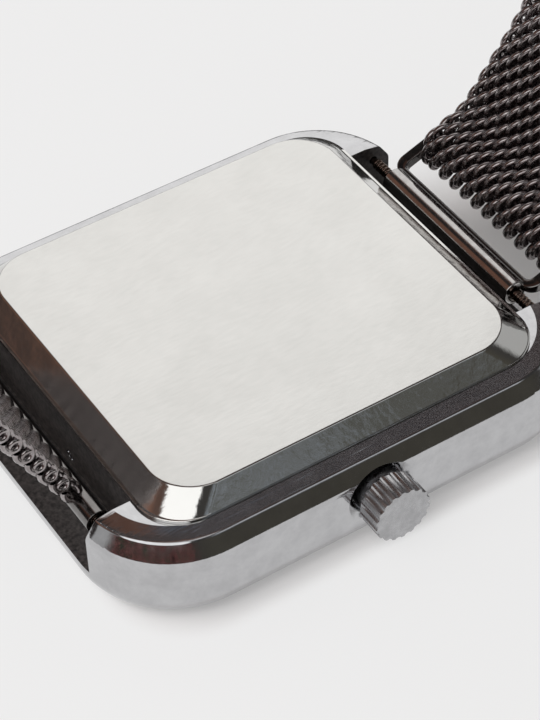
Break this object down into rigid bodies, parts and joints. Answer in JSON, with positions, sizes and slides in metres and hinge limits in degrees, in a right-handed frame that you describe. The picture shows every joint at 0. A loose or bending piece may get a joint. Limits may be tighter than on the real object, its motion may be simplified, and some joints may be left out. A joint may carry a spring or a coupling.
{
  "type": "led wristwatch",
  "caption": "Rounded-square LED wristwatch lying face down, with a satin back plate, a fluted push crown and a steel mesh loop strap that runs through a wire bail.",
  "frame": {"origin": "middle of the front of the glass, which is the face the watch lies on", "axes": "+X towards the crown, +Y towards the 6 o'clock side where the strap passes through the bail, +Z out of the case back"},
  "size_m": [0.0417, 0.0748, 0.0762],
  "materials": {
    "case_dark_polish": "polished dark plating, mirror in the tray, worn satin on the side wall",
    "black_glass": "polished, deep tint",
    "seal_rubber": "matte",
    "display_mask_black": "matte",
    "led_window_plastic": "gloss, dark red",
    "led_segments": "glowing",
    "circuit_board_green": "solder mask",
    "chip_black": "moulded",
    "small_bright_steel": "drawn can",
    "holder_plastic": "moulded, off-white",
    "screw_steel": "turned",
    "contact_brass": "stamped",
    "battery_steel": "rolled",
    "insulator_film": "amber film",
    "back_plate_steel": "fine satin with light scratches",
    "spring_steel": "drawn wire",
    "crown_dark_steel": "dark plating, matte on the end",
    "spring_bar_steel": "polished",
    "bail_dark_polish": "polished dark plating",
    "mesh_dark_steel": "woven wire, dark plating",
    "clasp_dark_steel": "brushed along the strap",
    "magnet_nickel": "plated"
  },
  "bodies": {
    "case": {"case_body": "case_dark_polish", "crystal": "black_glass", "crystal_gasket": "seal_rubber", "display_mask": "display_mask_black", "led_module": "led_window_plastic", "led_segments": "led_segments", "circuit_board": "circuit_board_green", "control_chip": "chip_black", "quartz_can": "small_bright_steel", "module_holder": "holder_plastic", "module_screws": "screw_steel", "button_contact": "contact_brass", "battery": "battery_steel", "battery_clip": "screw_steel", "battery_insulator": "insulator_film", "back_gasket": "seal_rubber", "case_back": "back_plate_steel", "crown_tube": "screw_steel", "crown_spring": "spring_steel", "spring_bar_12_tube": "spring_bar_steel", "spring_bar_12_spring": "spring_steel", "spring_bar_6_tube": "spring_bar_steel", "spring_bar_6_spring": "spring_steel"},
    "crown_push": {"crown_o_ring": "seal_rubber", "stem_clip": "spring_steel"},
    "crown_turn": {"crown": "crown_dark_steel", "crown_stem": "screw_steel"},
    "tip_12_crown_side": {"spring_bar_12_tip_crown_side": "spring_bar_steel"},
    "tip_12_plain_side": {"spring_bar_12_tip_plain_side": "spring_bar_steel"},
    "tip_6_crown_side": {"spring_bar_6_tip_crown_side": "spring_bar_steel"},
    "tip_6_plain_side": {"spring_bar_6_tip_plain_side": "spring_bar_steel"},
    "strap_lower": {"strap_end_tube": "bail_dark_polish", "strap_lower": "mesh_dark_steel"},
    "strap_middle": {"strap_middle": "mesh_dark_steel"},
    "strap_upper": {"strap_upper": "mesh_dark_steel", "strap_fold": "mesh_dark_steel"},
    "bail": {"bail": "bail_dark_polish"},
    "tail": {"strap_tail": "mesh_dark_steel", "clasp_shell": "clasp_dark_steel", "clasp_plate": "clasp_dark_steel", "clasp_magnets": "magnet_nickel"}
  },
  "joints": [
    {"name": "crown_press", "type": "slide", "parent": "case", "child": "crown_push", "axis": [-1, 0, 0], "range_m": [0, 0.0006], "stiffness_N_per_m": 400, "springref_m": -0.0008, "deforming": ["crown_spring"]},
    {"name": "crown_turning", "type": "hinge", "parent": "crown_push", "child": "crown_turn", "pos_m": [0.02, 0, 0.00475], "axis": [1, 0, 0], "continuous": true},
    {"name": "spring_bar_12_tip_crown_side", "type": "slide", "parent": "case", "child": "tip_12_crown_side", "axis": [-1, 0, 0], "range_m": [0, 0.001], "stiffness_N_per_m": 150, "springref_m": -0.002, "deforming": ["spring_bar_12_spring"]},
    {"name": "spring_bar_12_tip_plain_side", "type": "slide", "parent": "case", "child": "tip_12_plain_side", "axis": [1, 0, 0], "range_m": [0, 0.001], "stiffness_N_per_m": 150, "springref_m": -0.002, "deforming": ["spring_bar_12_spring"]},
    {"name": "spring_bar_6_tip_crown_side", "type": "slide", "parent": "case", "child": "tip_6_crown_side", "axis": [-1, 0, 0], "range_m": [0, 0.001], "stiffness_N_per_m": 150, "springref_m": -0.002, "deforming": ["spring_bar_6_spring"]},
    {"name": "spring_bar_6_tip_plain_side", "type": "slide", "parent": "case", "child": "tip_6_plain_side", "axis": [1, 0, 0], "range_m": [0, 0.001], "stiffness_N_per_m": 150, "springref_m": -0.002, "deforming": ["spring_bar_6_spring"]},
    {"name": "strap_sway", "type": "hinge", "parent": "case", "child": "strap_lower", "pos_m": [0, -0.0208, 0.0068], "axis": [1, 0, 0], "range_deg": [-5, 5]},
    {"name": "strap_flex_lower", "type": "hinge", "parent": "strap_lower", "child": "strap_middle", "pos_m": [0, -0.02641, 0.05975], "axis": [1, 0, 0], "range_deg": [-5, 5]},
    {"name": "strap_flex_upper", "type": "hinge", "parent": "strap_middle", "child": "strap_upper", "pos_m": [0, 0.0217, 0.07041], "axis": [1, 0, 0], "range_deg": [-4.2, 4.2]},
    {"name": "bail_swing", "type": "hinge", "parent": "case", "child": "bail", "pos_m": [0, 0.0208, 0.0068], "axis": [1, 0, 0], "range_deg": [-4.6, 4.6]},
    {"name": "tail_opening", "type": "hinge", "parent": "strap_upper", "child": "tail", "pos_m": [0, 0.02838, 0.00674], "axis": [1, 0, 0], "range_deg": [-50, 0]}
  ],
  "couplings": [
    {"joint": "strap_flex_lower", "follows": "strap_sway", "ratio": -0.8705},
    {"joint": "strap_flex_upper", "follows": "strap_sway", "ratio": 0.7254},
    {"joint": "bail_swing", "follows": "strap_sway", "ratio": 0.8337}
  ]
}
